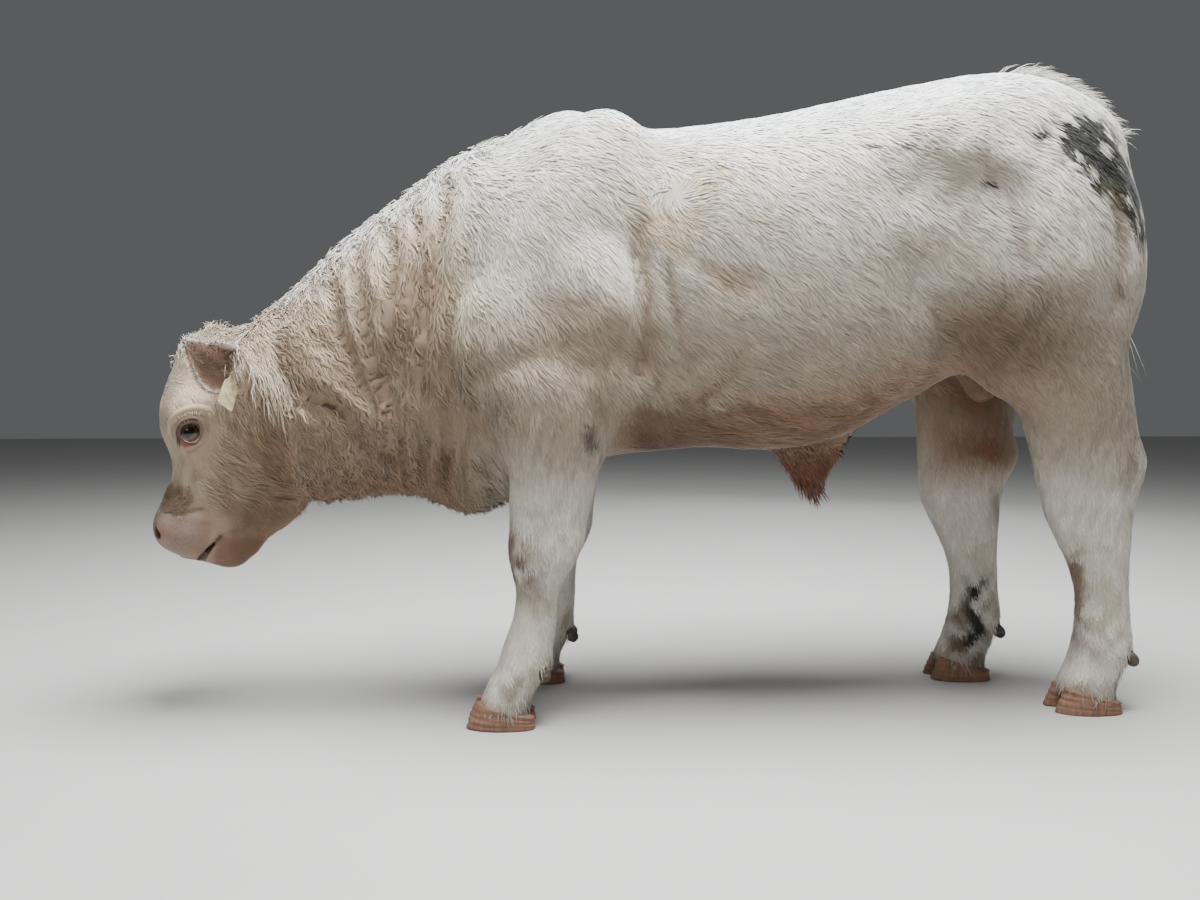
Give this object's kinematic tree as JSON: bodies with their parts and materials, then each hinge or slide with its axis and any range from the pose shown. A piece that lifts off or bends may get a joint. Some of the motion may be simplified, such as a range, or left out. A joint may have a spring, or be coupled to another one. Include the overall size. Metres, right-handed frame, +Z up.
{
  "type": "polled charolais bull",
  "caption": "Life-size still model of a young polled Charolais bull standing square with its head lowered, cream-white coat, no horns.",
  "frame": {"origin": "middle of the overall box at floor level, under the bull's belly", "axes": "+Z up, -X towards the head, -Y towards the bull's left side, which faces the picture's camera"},
  "size_m": [1.9374, 0.5496, 1.2358],
  "materials": {
    "coat": "matte cream-white short fur, buff on the neck and face",
    "horn": "dull terracotta hoof horn",
    "dewclaw": "dull dark grey horn",
    "eye": "glossy dark brown",
    "tag": "satin pale yellow"
  },
  "bodies": {
    "root": {"head": "coat", "neck": "coat", "torso": "coat", "tail": "coat", "ear_left": "coat", "ear_right": "coat", "eye_left": "eye", "eye_right": "eye", "leg_fore_left": "coat", "leg_fore_right": "coat", "leg_hind_left": "coat", "leg_hind_right": "coat", "claw_fore_left_inner": "horn", "dewclaw_fore_left_inner": "dewclaw", "claw_fore_left_outer": "horn", "dewclaw_fore_left_outer": "dewclaw", "claw_fore_right_inner": "horn", "dewclaw_fore_right_inner": "dewclaw", "claw_fore_right_outer": "horn", "dewclaw_fore_right_outer": "dewclaw", "claw_hind_left_inner": "horn", "dewclaw_hind_left_inner": "dewclaw", "claw_hind_left_outer": "horn", "dewclaw_hind_left_outer": "dewclaw", "claw_hind_right_inner": "horn", "dewclaw_hind_right_inner": "dewclaw", "claw_hind_right_outer": "horn", "dewclaw_hind_right_outer": "dewclaw", "ear_tag": "tag"}
  },
  "joints": []
}
